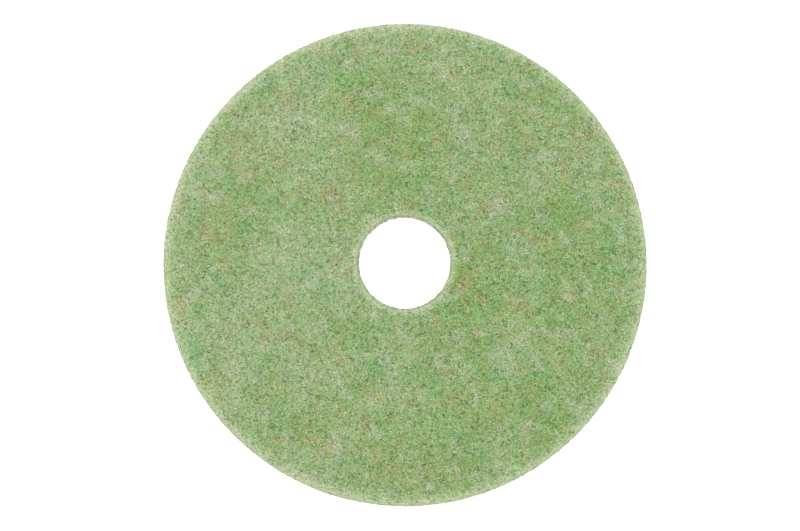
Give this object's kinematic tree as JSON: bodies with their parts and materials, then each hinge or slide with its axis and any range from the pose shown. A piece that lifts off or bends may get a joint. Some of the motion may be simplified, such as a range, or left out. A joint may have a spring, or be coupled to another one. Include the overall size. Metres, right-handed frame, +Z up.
{
  "type": "floor polishing pad",
  "caption": "Round floor polishing pad of springy non-woven fibre web with rounded cut edges and a centre hole for the hub of a pad driver.",
  "frame": {"origin": "centre of the hole, on the lower face that rests on the floor", "axes": "+Z up along the axis of the hole and of rotation, X and Y alike because the pad is round"},
  "size_m": [0.4318, 0.4318, 0.0254],
  "materials": {
    "fibre_web": "matte"
  },
  "bodies": {
    "root": {"floor_pad": "fibre_web"}
  },
  "joints": []
}
